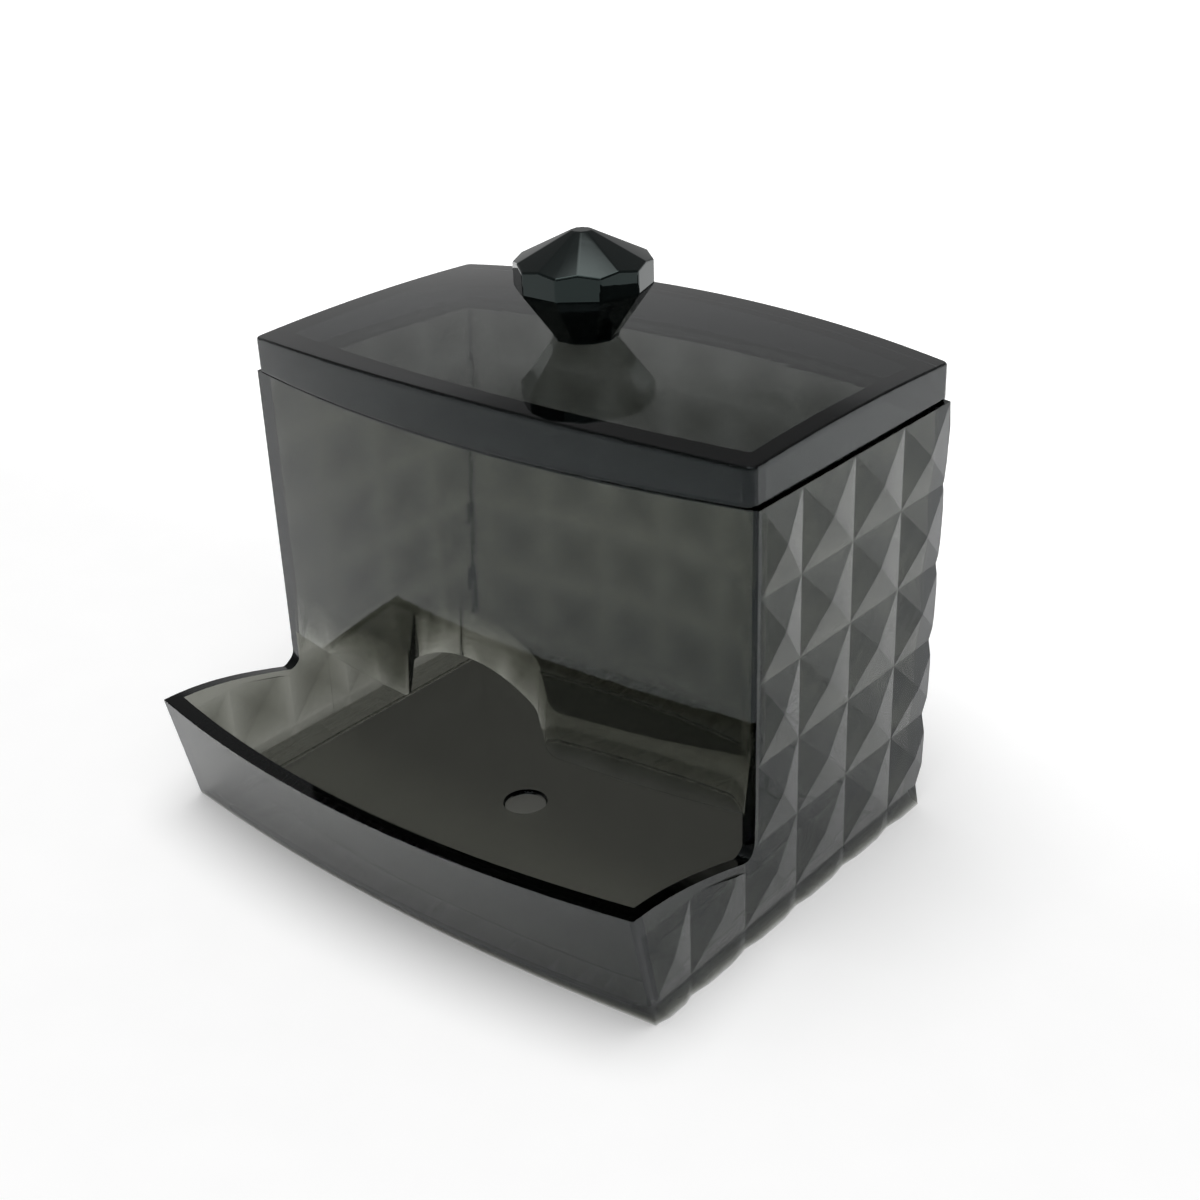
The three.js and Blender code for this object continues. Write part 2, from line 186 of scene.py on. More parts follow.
class SwabBoxFinish(bpy.types.PropertyGroup):
    """Colours of the plastics and of the table, and painted tints that dim and colour the plastics'
    reflections.
    """
    container_tint: colour("Container tint", "What the container's plastic lets through", "#939588")
    container_dye: bpy.props.FloatProperty(
        name="Container dye", description="How strongly the container's dye absorbs light, per metre",
        default=820, min=0)
    lid_tint: colour("Lid tint", "What the lid's plastic lets through", "#8A9092")
    lid_dye: bpy.props.FloatProperty(
        name="Lid dye", description="How strongly the lid's dye absorbs light, per metre", default=740, min=0)
    # Painted reflection tint: it dims every reflection of the clear plastic to under half and cools it to a
    # faint blue
    clear_painted_reflection_tint: colour("Clear sheen", "Colour of what the clear plastic mirrors", "#AAB3B6")
    knob_shade: colour("Knob shade", "Colour of the knob's plastic", "#0A0E0E")
    # Painted reflection tint: it dims the knob's reflections and turns them blue-green
    knob_painted_reflection_tint: colour("Knob sheen", "Colour of what the knob mirrors", "#B5CBC8")
    table_white: colour("Table white", "Colour of the table", "#FAFAFA")


class SwabBoxStageSizes(bpy.types.PropertyGroup):
    """The table, and where the camera stands in a frame centred on the lid's centre line."""
    table_side: length("Table side", "Length of each side of the table", 6000)
    camera_place: bpy.props.FloatVectorProperty(
        name="Camera place", description="Place of the camera", subtype='TRANSLATION', unit='LENGTH',
        default=(197.82 * MM, -228.03 * MM, 188.58 * MM))
    azimuth: bpy.props.FloatProperty(
        name="Azimuth", description="How far the camera looks to the left of +Y", subtype='ANGLE',
        default=math.radians(40.85))
    elevation: bpy.props.FloatProperty(
        name="Elevation", description="How far the camera looks down", subtype='ANGLE',
        default=math.radians(26.69))
    roll: bpy.props.FloatProperty(
        name="Roll", description="How far the camera leans", subtype='ANGLE', default=math.radians(-2.43))
    focal_length: bpy.props.FloatProperty(
        name="Focal length", description="Focal length of the lens in millimetres", default=52.27)
    sensor_width: bpy.props.FloatProperty(
        name="Sensor width", description="Width of the camera's sensor in millimetres", default=36)


def deselect_all():
    """Leaves nothing selected, so that the next operator acts on its own piece alone."""
    if bpy.context.object and bpy.context.object.mode != 'OBJECT':
        bpy.ops.object.mode_set(mode='OBJECT')
    bpy.ops.object.select_all(action='DESELECT')


def activate(piece):
    """Makes a piece the only selected one."""
    deselect_all()
    piece.select_set(True)
    bpy.context.view_layer.objects.active = piece


def pick(piece, kind, test):
    """Enters edit mode with only the corners, edges or faces of a piece that pass a test selected.

    A corner's test takes its place, an edge's test its two ends, and a face's test its middle and normal.
    """
    activate(piece)
    mesh = piece.data
    bpy.context.tool_settings.mesh_select_mode = [kind == k for k in ('VERT', 'EDGE', 'FACE')]
    parts = {'VERT': mesh.vertices, 'EDGE': mesh.edges, 'FACE': mesh.polygons}
    for part in parts.values():
        part.foreach_set("select", [False] * len(part))
    places = {
        'VERT': lambda corner: (corner.co,),
        'EDGE': lambda edge: [mesh.vertices[i].co for i in edge.vertices],
        'FACE': lambda face: (face.center, face.normal),
    }[kind]
    chosen = [item for item in parts[kind] if test(*places(item))]
    if not chosen:
        raise RuntimeError(f"{piece.name}: nothing to select")
    for item in chosen:
        item.select = True
    bpy.ops.object.mode_set(mode='EDIT')


def leave_edit():
    """Goes back from edit mode to object mode."""
    bpy.ops.object.mode_set(mode='OBJECT')


def add_block(name, low, high):
    """A box between two corners."""
    deselect_all()
    low, high = Vector(low), Vector(high)
    bpy.ops.mesh.primitive_cube_add(size=1, location=(low + high) / 2, scale=high - low)
    bpy.ops.object.transform_apply(location=True, rotation=True, scale=True)
    block = bpy.context.object
    block.name = name
    return block


def add_cylinder(name, radius, depth, middle):
    """A fine upright cylinder."""
    deselect_all()
    bpy.ops.mesh.primitive_cylinder_add(vertices=ROUND_STEPS, radius=radius, depth=depth, location=middle)
    bpy.ops.object.transform_apply(location=True, rotation=True, scale=True)
    cylinder = bpy.context.object
    cylinder.name = name
    return cylinder


def add_outline(name, points, by):
    """A flat outline, drawn as (x, y, z) points, made a solid by drawing it out along a direction."""
    deselect_all()
    bpy.ops.mesh.primitive_circle_add(vertices=len(points), radius=1, fill_type='NGON')
    solid = bpy.context.object
    solid.name = name
    for corner, place in zip(solid.data.vertices, points):
        corner.co = place
    pick(solid, 'FACE', lambda middle, facing: True)
    bpy.ops.mesh.extrude_region_move(TRANSFORM_OT_translate={"value": by})
    bpy.ops.mesh.select_all(action='SELECT')
    bpy.ops.mesh.normals_make_consistent(inside=False)
    leave_edit()
    return solid


def near(a, b):
    """Whether two places along an axis are one place."""
    return abs(a - b) < NEAR


def move(piece, test, by):
    """Moves the corners of a piece that pass a test."""
    pick(piece, 'VERT', test)
    bpy.ops.transform.translate(value=by)
    leave_edit()


def resize(piece, test, factors, centre):
    """Scales the corners of a piece that pass a test about a centre."""
    pick(piece, 'VERT', test)
    bpy.ops.transform.resize(value=factors, center_override=centre)
    leave_edit()


def places_along(piece, axis):
    """The distinct places of a piece's corners along an axis."""
    places = []
    for place in sorted(corner.co[axis] for corner in piece.data.vertices):
        if not places or place - places[-1] > NEAR:
            places.append(place)
    return places


def divide(piece, axis, pieces):
    """Cuts the edges that run along an axis into even pieces."""
    others = [i for i in range(3) if i != axis]
    pick(piece, 'EDGE', lambda a, b: all(near(a[i], b[i]) for i in others))
    bpy.ops.mesh.subdivide(number_cuts=pieces - 1)
    leave_edit()


def slice_at(piece, points, normal):
    """Cuts a piece's faces along a plane through each point."""
    for point in points:
        pick(piece, 'FACE', lambda middle, facing: True)
        bpy.ops.mesh.bisect(plane_co=point, plane_no=normal)
    leave_edit()


def combine(piece, other, operation):
    """Joins or cuts a piece with another, which is used up."""
    activate(piece)
    modifier = piece.modifiers.new("combine", 'BOOLEAN')
    modifier.operation = operation
    modifier.solver = 'MANIFOLD'
    modifier.object = other
    bpy.ops.object.modifier_apply(modifier=modifier.name)
    bpy.data.meshes.remove(other.data)
    return piece


def duplicate(piece):
    """A second copy of a piece, with its own mesh."""
    activate(piece)
    bpy.ops.object.duplicate(linked=False)
    return bpy.context.object


def between(start, end, share):
    """The value at a share of the way from start to end."""
    return start + (end - start) * share


def bow_at(x, half, bow):
    """How far a bowed face stands out at x, between corners at -half and +half."""
    return bow * (1 - (x / half) ** 2)


def half_width(sizes, z):
    """Half the width across the wall planes at a height."""
    return between(sizes.bottom_width, sizes.top_width, z / sizes.height) / 2


def back_face(sizes, z):
    """Depth of the back wall's corners at a height."""
    return between(sizes.back_bottom, sizes.back_top, z / sizes.height)


def panel_face(sizes, z):
    """Depth of the front panel's corners at a height."""
    return -between(sizes.panel_bottom, sizes.panel_top, z / sizes.height)


def tray_face(sizes, z):
    """Depth of the tray's front corners at a height."""
    return -between(sizes.tray_bottom, sizes.tip_depth, z / sizes.tip_height)


def tray_bow(sizes, z):
    """How far the tray's front stands out at a height."""
    return between(sizes.tray_bottom_bow, sizes.bow, z / sizes.tip_height)


def past_tray(sizes):
    """A depth in front of the whole tray."""
    return -sizes.tip_depth - sizes.bow - OVERRUN


def taper(piece, sizes, z):
    """Narrows a block's corners at a height as the walls narrow there, from their width at the top."""
    share = half_width(sizes, z) / half_width(sizes, sizes.height)
    resize(piece, lambda at: near(at.z, z), (share, 1, 1), (0, 0, 0))


def round_edges(piece, radius, test):
    """Rounds the edges of a piece that pass a test."""
    pick(piece, 'EDGE', test)
    bpy.ops.mesh.bevel(offset=radius, segments=EDGE_STEPS, profile=0.5, clamp_overlap=True)
    leave_edit()


def round_rims(piece, radius):
    """Rounds a block along the borders of its top and its underside, but not its upright corners."""
    def crease(a, b, upright):
        level = abs(a.z) > LEVEL or abs(b.z) > LEVEL
        return a.dot(b) < math.cos(CREASE_ANGLE) and level and not upright
    activate(piece)
    mesh = piece.data
    facing = {}
    for face in mesh.polygons:
        for key in face.edge_keys:
            facing.setdefault(key, []).append(face.normal.copy())
    rims = set()
    for key, normals in facing.items():
        low_end, high_end = sorted(mesh.vertices[i].co.z for i in key)
        if len(normals) == 2 and crease(*normals, high_end - low_end > UPRIGHT_CLIMB * radius):
            rims.add(frozenset(tuple(mesh.vertices[i].co) for i in key))
    round_edges(piece, radius, lambda a, b: frozenset((tuple(a), tuple(b))) in rims)


def bowed_block(name, sizes, heights, inset, front, back):
    """A block that leans as the walls do, between two heights; front and back give depth and bow there.

    It starts as a thin upright slab, whose front and back are then moved out to their places.
    """
    half = half_width(sizes, sizes.height) - inset
    block = add_block(name, (-half, -OVERRUN, heights[0]), (half, OVERRUN, heights[1]))
    divide(block, 0, BOW_STEPS)
    for z in heights:
        for toward, face in ((-1, front), (1, back)):
            depth, bow = face(z)
            for x in places_along(block, 0):
                move(block, lambda at: near(at.x, x) and near(at.z, z) and at.y * toward > 0,
                     (0, depth + toward * (bow_at(x, half, bow) - OVERRUN), 0))
    for z in heights:
        share = (half_width(sizes, z) - inset) / half
        resize(block, lambda at: near(at.z, z), (share, 1, 1), (0, 0, 0))
    return block


def widen(piece, by):
    """Draws the sides of a block outwards, past the walls that will cut it."""
    for side in (-1, 1):
        pick(piece, 'FACE', lambda middle, facing: facing.x * side > SQUARE_ON)
        bpy.ops.mesh.extrude_region_move(TRANSFORM_OT_translate={"value": (side * by, 0, 0)})
        leave_edit()


def main_block(sizes, inset, heights, back_reach):
    """The room behind the front panel, inset from the outside, with its back drawn out by a reach."""
    return bowed_block(
        "main_block", sizes, heights, inset,
        lambda z: (panel_face(sizes, z) + inset, sizes.bow),
        lambda z: (back_face(sizes, z) - inset + back_reach, sizes.bow))


def row_height(sizes, row):
    """Pattern rows are counted down from the top of the walls."""
    return sizes.height - row * sizes.cell


def side_column(sizes, column):
    """Pattern columns on a side wall are counted forward from the back top corner."""
    return sizes.back_top - column * sizes.cell


def patterned_sides(sizes, name, rows, front_face, last_column):
    """Both side walls' pyramids between two rows, running past the back wall, which cuts them off."""
    low, high = row_height(sizes, rows[1]), row_height(sizes, rows[0])
    half = half_width(sizes, sizes.height)
    front = front_face(sizes, sizes.height) - sizes.cell
    block = add_block(name, (-half, front, low), (half, side_column(sizes, -1), high))
    for z in (low, high):
        taper(block, sizes, z)
    slice_at(block, [(0, 0, row_height(sizes, row)) for row in range(rows[0] + 1, rows[1])], (0, 0, 1))
    slice_at(block, [(0, side_column(sizes, column), 0) for column in range(last_column)], (0, 1, 0))
    # The pattern ends in a leaning line, a plain strip behind the front corner
    foot = Vector((0, front_face(sizes, 0) + sizes.corner_margin, 0))
    head = Vector((0, front_face(sizes, sizes.height) + sizes.corner_margin, sizes.height))
    up = head - foot
    slice_at(block, [foot], (0, up.z, -up.y))
    limit = lambda z: between(foot.y, head.y, z / sizes.height)
    pick(block, 'FACE', lambda middle, facing: abs(facing.x) > SQUARE_ON and middle.y > limit(middle.z))
    bpy.ops.mesh.poke(offset=sizes.relief, center_mode='MEDIAN')
    leave_edit()
    return block


def patterned_back(sizes):
    """The back wall's pyramids, on a slab as deep as the whole box that runs past both corners."""
    rows = math.ceil(sizes.height / sizes.cell)
    low, high = row_height(sizes, rows), sizes.height
    # One cell lies across the centre line, with this many on each side of it
    cells = math.ceil((half_width(sizes, sizes.height) + sizes.relief) / sizes.cell)
    half = (cells + 0.5) * sizes.cell
    slab = add_block("patterned_back", (-half, past_tray(sizes), low), (half, 0, high))
    for z in (low, high):
        move(slab, lambda at: near(at.z, z) and at.y > -NEAR, (0, back_face(sizes, z), 0))
    slice_at(slab, [(0, 0, row_height(sizes, row)) for row in range(1, rows)], (0, 0, 1))
    divide(slab, 0, 2 * cells + 1)
    for row in range(rows + 1):
        z = row_height(sizes, row)
        for x in places_along(slab, 0):
            move(slab, lambda at: near(at.x, x) and near(at.z, z) and at.y > 0,
                 (0, bow_at(x, half_width(sizes, z), sizes.bow), 0))
    pick(slab, 'FACE', lambda middle, facing: facing.y > SQUARE_ON)
    bpy.ops.mesh.poke(offset=sizes.relief, center_mode='MEDIAN')
    leave_edit()
    return slab


def side_profile(name, outline, half):
    """A side view, drawn as (y, z) points, as a solid across the width."""
    return add_outline(name, [(-half, y, z) for y, z in outline], (2 * half, 0, 0))


def rim_points(sizes, margin):
    """The tray's side rim from its tip back to the panel, lowered by a margin, as (y, z) points."""
    start = panel_face(sizes, sizes.notch_height) - sizes.notch_fillet
    points = []
    for i in range(CURVE_STEPS + 1):
        y = between(-sizes.tip_depth, start, i / CURVE_STEPS)
        climb = math.sin((start - y) / (start + sizes.tip_depth) * math.pi / 2)
        points.append((y, between(sizes.notch_height, sizes.tip_height, climb) - margin))
    return points


def above_rim(sizes):
    """What is cut away over the tray, with a fillet where the rim turns up into the panel."""
    corner_y = panel_face(sizes, sizes.notch_height)
    radius = sizes.notch_fillet
    fillet = []
    for i in range(1, CURVE_STEPS + 1):
        angle = i / CURVE_STEPS * math.pi / 2
        fillet.append((corner_y - radius + radius * math.sin(angle),
                       sizes.notch_height + radius - radius * math.cos(angle)))
    far, top = past_tray(sizes), sizes.tip_height + OVERRUN
    outline = rim_points(sizes, 0) + fillet + [(corner_y, top), (far, top), (far, sizes.tip_height)]
    return side_profile("above_rim", outline, sizes.top_width)


def below_rim_margin(sizes, border, low, high):
    """Where the tray's pattern may lie: under the rim's margin, and behind the last whole column."""
    points = [point for point in rim_points(sizes, sizes.rim_margin) if point[0] < border]
    points += [(border, points[-1][1]), (border, high), (sizes.tip_depth, high), (sizes.tip_depth, low)]
    points.append((-sizes.tip_depth, low))
    return side_profile("below_rim_margin", points, sizes.top_width)


def arc(centre, radius, start, end):
    """Points on an arc, as (across, up), between two angles in degrees."""
    points = []
    for i in range(CURVE_STEPS + 1):
        angle = math.radians(between(start, end, i / CURVE_STEPS))
        points.append((centre[0] + radius * math.cos(angle), centre[1] + radius * math.sin(angle)))
    return points


def opening_outline(sizes, low):
    """The opening under the panel seen from the front, as (across, up), with its arch for the fingers."""
    foot, fillet, corner, crown = sizes.panel_edge, sizes.arch_fillet, sizes.arch_corner, sizes.arch_crown
    side, half = half_width(sizes, foot) - sizes.wall, sizes.arch_width / 2
    # The arch's crown is one arc about a point on the centre line, and runs on into the corners' arcs
    middle = sizes.arch_height - crown
    corner_x = half - sizes.arch_lean - corner
    shoulder = math.acos(corner_x / (crown - corner))
    corner_z = middle + (crown - corner) * math.sin(shoulder)
    turn = math.degrees(shoulder)
    right = [(side, low)]
    right += arc((side - sizes.mouth_radius, foot - sizes.mouth_radius), sizes.mouth_radius, 0, 90)
    right += arc((half + fillet, foot + fillet), fillet, 270, 180)
    right += arc((corner_x, corner_z), corner, 0, turn)
    right += arc((0, middle), crown, turn, 90)[1:]
    return right + [(-x, z) for x, z in reversed(right[:-1])]


def opening_cutter(sizes, low, start, end, climb):
    """The opening as a solid between two depths behind the panel's outer face, climbing on its way in."""
    outline = [(x, start, z) for x, z in opening_outline(sizes, low)]
    cutter = add_outline("opening_cutter", outline, (0, end - start, climb))
    half = half_width(sizes, sizes.panel_edge)
    slice_at(cutter, [(between(-half, half, i / BOW_STEPS), 0, 0) for i in range(1, BOW_STEPS)], (1, 0, 0))
    for x in places_along(cutter, 0):
        by = (0, panel_face(sizes, sizes.panel_edge) - bow_at(x, half, sizes.bow), 0)
        move(cutter, lambda at: near(at.x, x), by)
    return cutter


def container_outside(sizes):
    """The container before it is hollowed: patterned walls, with the tray's patterned sides joined on."""
    rows = math.ceil(sizes.height / sizes.cell)
    main_columns = math.ceil((sizes.back_top + sizes.panel_bottom) / sizes.cell)
    tray_columns = math.ceil((sizes.back_top + sizes.tip_depth) / sizes.cell)
    # The tray's sides carry on the two lowest rows
    tray_row = rows - 2
    upper = patterned_sides(sizes, "upper_sides", (0, tray_row), panel_face, main_columns)
    lower = patterned_sides(sizes, "lower_sides", (tray_row, rows), tray_face, tray_columns)
    low, high = row_height(sizes, rows) - OVERRUN, row_height(sizes, tray_row) + OVERRUN
    combine(lower, below_rim_margin(sizes, side_column(sizes, main_columns), low, high), 'INTERSECT')
    half, tray_top = half_width(sizes, sizes.height), sizes.tip_height + OVERRUN
    tray = add_block("tray_sides", (-half, past_tray(sizes), 0), (half, 0, tray_top))
    for z in (0, tray_top):
        taper(tray, sizes, z)
    combine(tray, duplicate(lower), 'UNION')
    front = bowed_block(
        "tray_front", sizes, (0, sizes.tip_height), 0,
        lambda z: (tray_face(sizes, z), tray_bow(sizes, z)), lambda z: (-sizes.wall, 0))
    widen(front, OVERRUN)
    combine(tray, front, 'INTERSECT')
    combine(tray, above_rim(sizes), 'DIFFERENCE')
    main = combine(upper, lower, 'UNION')
    combine(main, patterned_back(sizes), 'INTERSECT')
    room = main_block(sizes, 0, (0, sizes.height), sizes.cell)
    widen(room, OVERRUN)
    combine(main, room, 'INTERSECT')
    return combine(main, tray, 'UNION')


def container_body(sizes):
    """The moulded container: hollowed behind the panel and in the tray, with the opening and its bevel, and
    with the foot's recess and the gate mark."""
    body = container_outside(sizes)
    floor_top = sizes.foot_height + sizes.floor
    room = main_block(sizes, sizes.wall, (floor_top, sizes.height + OVERRUN), 0)
    outermost = half_width(sizes, 0) - sizes.wall - NEAR

    def upright_corner(a, b):
        climbs = abs(a.z - b.z) > sizes.panel_edge / 2 and abs(abs(a.x) - abs(b.x)) < sizes.wall
        return climbs and abs(a.x) > outermost and abs(b.x) > outermost

    round_edges(room, sizes.corner_radius, upright_corner)
    combine(body, room, 'DIFFERENCE')
    tray_room = bowed_block(
        "tray_room", sizes, (floor_top, sizes.panel_edge), sizes.wall,
        lambda z: (tray_face(sizes, z) + sizes.tray_wall, tray_bow(sizes, z)),
        lambda z: (panel_face(sizes, z) + sizes.lip / 2, -sizes.bow))
    combine(body, tray_room, 'DIFFERENCE')
    # The bevel is the same opening again, which starts behind the lip and climbs as it goes in. Its foot
    # lies two bevels under the panel's edge, where the opening is cut already
    inside = sizes.wall + OVERRUN
    climb = sizes.bevel / (sizes.wall - sizes.lip)
    combine(body, opening_cutter(sizes, floor_top, -OVERRUN, inside, 0), 'DIFFERENCE')
    bevel_low = sizes.panel_edge - 2 * sizes.bevel
    beveller = opening_cutter(sizes, bevel_low, sizes.lip, inside, climb * (inside - sizes.lip))
    combine(body, beveller, 'DIFFERENCE')
    foot = bowed_block(
        "foot", sizes, (-OVERRUN, sizes.foot_height), sizes.foot_width,
        lambda z: (tray_face(sizes, 0) + sizes.foot_width, sizes.tray_bottom_bow),
        lambda z: (back_face(sizes, 0) - sizes.foot_width, sizes.bow))
    combine(body, foot, 'DIFFERENCE')
    gate_bottom = floor_top - sizes.gate_depth
    gate = add_cylinder(
        "gate_mark", sizes.gate_radius, OVERRUN, (0, -sizes.gate_front, gate_bottom + OVERRUN / 2))
    round_edges(gate, GATE_ROUNDING * sizes.gate_depth, lambda a, b: max(a.z, b.z) < gate_bottom + NEAR)
    combine(body, gate, 'DIFFERENCE')
    body.name = "clear_container"
    return body


def domed_block(name, outline, low, drop):
    """A block with bowed front and back under the lid's domed top, which a drop lowers.

    The outline holds half the width, the front and the back corners' depth, the height of the top at the
    corners, its rise across the width and from front to back, and the bow.
    """
    half, front, back, edge, crown, camber, bow = outline
    middle, depth = (front + back) / 2, (back - front) / 2
    block = add_block(name, (-half, front, low), (half, back, edge - drop))
    divide(block, 0, BOW_STEPS)
    divide(block, 1, DEPTH_STEPS)
    on_top = lambda at: at.z > low + NEAR
    for x in places_along(block, 0):
        move(block, lambda at: near(at.x, x) and on_top(at), (0, 0, bow_at(x, half, crown)))
    for y in places_along(block, 1):
        move(block, lambda at: near(at.y, y) and on_top(at), (0, 0, bow_at(y - middle, depth, camber)))
    for x in places_along(block, 0):
        share = 1 + bow_at(x, half, bow) / depth
        resize(block, lambda at: near(at.x, x), (1, share, 1), (0, middle, 0))
    return block


def lid_top(body, sizes):
    """Height of the lid's crown, which the knob stands on."""
    return body.height + sizes.edge_height + sizes.crown + sizes.camber


def lid_shell(body, sizes):
    """The lid: a domed cap with a rib that fits inside the container, and a hole for the knob."""
    half = half_width(body, body.height) - sizes.side_inset
    front, back = -body.panel_top - sizes.overhang, body.back_top + sizes.overhang
    edge = body.height + sizes.edge_height
    outline = (half, front, back, edge, sizes.crown, sizes.camber, body.bow)
    cap = domed_block("lid_cap", outline, body.height + sizes.seam, 0)
    outermost = half - NEAR
    round_edges(cap, sizes.corner_radius, lambda a, b: (
        min(abs(a.x), abs(b.x)) > outermost and abs(a.z - b.z) > sizes.edge_height / 2))
    round_rims(cap, sizes.edge_radius)
    inset = body.wall + sizes.rib_clearance
    low = body.height - sizes.rib_depth
    rib = bowed_block(
        "lid_rib", body, (low, body.height + sizes.plate), inset,
        lambda z: (-body.panel_top + inset, body.bow), lambda z: (back_face(body, low) - inset, body.bow))
    combine(cap, rib, 'UNION')
    inset += sizes.rib_width
    recess_outline = (
        half_width(body, low) - inset, -body.panel_top + inset, back_face(body, low) - inset,
        edge, sizes.crown, sizes.camber, body.bow)
    recess = domed_block("lid_recess", recess_outline, low - OVERRUN, sizes.plate)
    combine(cap, recess, 'DIFFERENCE')
    hole = add_cylinder(
        "spigot_hole", sizes.hole_radius, 2 * (sizes.plate + OVERRUN), (0, 0, lid_top(body, sizes)))
    combine(cap, hole, 'DIFFERENCE')
    cap.name = "clear_lid"
    return cap


def gem_knob(seat, plate, sizes):
    """The knob on its seat: a flared pavilion, an upright girdle and a faceted crown, with a spigot."""
    girdle_low = seat + sizes.foot_height + sizes.pavilion_height
    girdle_high = girdle_low + sizes.girdle_height
    table = girdle_high + sizes.crown_height
    deselect_all()
    bpy.ops.mesh.primitive_cylinder_add(
        vertices=sizes.sides, radius=sizes.girdle_radius, depth=table - girdle_low,
        location=(0, 0, (table + girdle_low) / 2), rotation=(0, 0, math.pi / sizes.sides))
    bpy.ops.object.transform_apply(location=True, rotation=True, scale=True)
    knob = bpy.context.object
    pick(knob, 'FACE', lambda middle, facing: facing.z < -SQUARE_ON)
    bpy.ops.mesh.extrude_region_move(TRANSFORM_OT_translate={"value": (0, 0, -sizes.pavilion_height)})
    share = sizes.foot_radius / sizes.girdle_radius
    bpy.ops.transform.resize(value=(share, share, 1), center_override=(0, 0, 0))
    bpy.ops.mesh.extrude_region_move(TRANSFORM_OT_translate={"value": (0, 0, -sizes.foot_height)})
    leave_edit()
    # The crown is a cone turned by half a side, so that the girdle's upper edge runs in zigzags
    slope = (sizes.girdle_radius - sizes.table_radius) / sizes.crown_height
    low = seat - OVERRUN
    corner_share = math.cos(math.pi / sizes.sides)
    deselect_all()
    bpy.ops.mesh.primitive_cone_add(
        vertices=sizes.sides, radius1=(sizes.girdle_radius + slope * (girdle_high - low)) / corner_share,
        radius2=sizes.table_radius / corner_share, depth=table - low, location=(0, 0, (table + low) / 2))
    bpy.ops.object.transform_apply(location=True, rotation=True, scale=True)
    combine(knob, bpy.context.object, 'INTERSECT')
    round_edges(knob, sizes.edge_radius, lambda a, b: min(a.z, b.z) > girdle_low - NEAR)
    spigot = add_cylinder("spigot", sizes.spigot_radius, plate + sizes.foot_height,
                          (0, 0, seat + (sizes.foot_height - plate) / 2))
    combine(knob, spigot, 'UNION')
    knob.name = "gem_knob"
    return knob


def finish_piece(piece, material, body, node):
    """Shades a piece, sets it over the CAD node that it stands for and gives it its body and finish."""
    activate(piece)
    piece.data.name = piece.name
    piece.location.y = CENTRE_Y
    bpy.ops.object.transform_apply(location=True, rotation=True, scale=True)
    bpy.ops.object.shade_smooth_by_angle(angle=SMOOTH_ANGLE)
    piece.data.materials.clear()
    piece.data.materials.append(material)
    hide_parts(node)
    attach(piece, body)


def clear_tree(owner):
    """The node tree of a material or a world, emptied."""
    owner.use_nodes = True
    owner.node_tree.nodes.clear()
    return owner.node_tree


def add_node(tree, kind, settings=(), links=()):
    """Adds a node with its settings and its links, given as input name and output socket."""
    node = tree.nodes.new(kind)
    for name, value in dict(settings).items():
        if isinstance(name, int) or name in node.inputs:
            node.inputs[name].default_value = value
        else:
            setattr(node, name, value)
    for name, socket in dict(links).items():
        tree.links.new(socket, node.inputs[name])
    return node


def moulded_surface(tree, wave, height, grain):
    """The skin of a moulding: a faint waviness where the plastic flowed and shrank, and a polish that varies.

    Returns the normal and the roughness.
    """
    place = add_node(tree, 'ShaderNodeTexCoord').outputs["Object"]
    flow = add_node(tree, 'ShaderNodeTexNoise', {
        "Scale": 1 / wave, "Detail": 2, "Distortion": 0.6},
        {"Vector": place})
    normal = add_node(tree, 'ShaderNodeBump', {
        "Strength": 1.0, "Distance": height},
        {"Height": flow.outputs[0]})
    scuff = add_node(tree, 'ShaderNodeTexNoise', {
        "Scale": 1 / grain, "Detail": 4},
        {"Vector": place})
    polish = add_node(tree, 'ShaderNodeMapRange', {
        "From Min": 0.35, "From Max": 0.75, "To Min": 0.0, "To Max": 0.05},
        {"Value": scuff.outputs[0]})
    return normal.outputs[0], polish.outputs[0]


def clear_polystyrene(name, tint, dye, painted_reflection_tint):
    """Injection-moulded crystal polystyrene with a smoke dye: it bends and mirrors light strongly, and the
    dye makes it darker the thicker it is, so that edges seen along their length are almost black. A painted
    reflection tint dims every reflection that it gives."""
    material = bpy.data.materials.new(name)
    tree = clear_tree(material)
    normal, roughness = moulded_surface(tree, wave=9 * MM, height=0.02 * MM, grain=4 * MM)
    # The specular tint is a painted reflection tint, which dims and cools the plastic's reflections
    shader = add_node(tree, 'ShaderNodeBsdfPrincipled', {
        "Base Color": (1, 1, 1, 1), "IOR": 1.59, "Transmission Weight": 1.0, "Specular Tint": (*painted_reflection_tint, 1)},
        {"Normal": normal, "Roughness": roughness})
    smoke = add_node(tree, 'ShaderNodeVolumeAbsorption', {"Color": (*tint, 1), "Density": dye})
    add_node(tree, 'ShaderNodeOutputMaterial', (), {"Surface": shader.outputs[0], "Volume": smoke.outputs[0]})
    return material


def dark_polystyrene(name, shade, painted_reflection_tint):
    """The same plastic dyed so deep that no light comes through: near black, with mirror-like facets whose
    reflections a painted tint dims and turns blue-green.
    """
    material = bpy.data.materials.new(name)
    tree = clear_tree(material)
    normal, roughness = moulded_surface(tree, wave=5 * MM, height=0.01 * MM, grain=2 * MM)
    # The specular tint is a painted blue-green reflection tint
    shader = add_node(tree, 'ShaderNodeBsdfPrincipled', {
        "Base Color": (*shade, 1), "IOR": 1.55, "Specular Tint": (*painted_reflection_tint, 1)},
        {"Normal": normal, "Roughness": roughness})
    add_node(tree, 'ShaderNodeOutputMaterial', (), {"Surface": shader.outputs[0]})
    return material


class SWABBOX_OT_container(bpy.types.Operator):
    """Model the container with its tray and its pyramid pattern"""
    bl_idname = "swabbox.container"
    bl_label = "Container"

    def execute(self, context):
        body = container_body(context.scene.swab_box_body)
        finish = context.scene.swab_box_finish
        material = clear_polystyrene("Smoke polystyrene, moulded container",
                                     finish.container_tint, finish.container_dye, finish.clear_painted_reflection_tint)
        finish_piece(body, material, "container", "container_body")
        return {'FINISHED'}


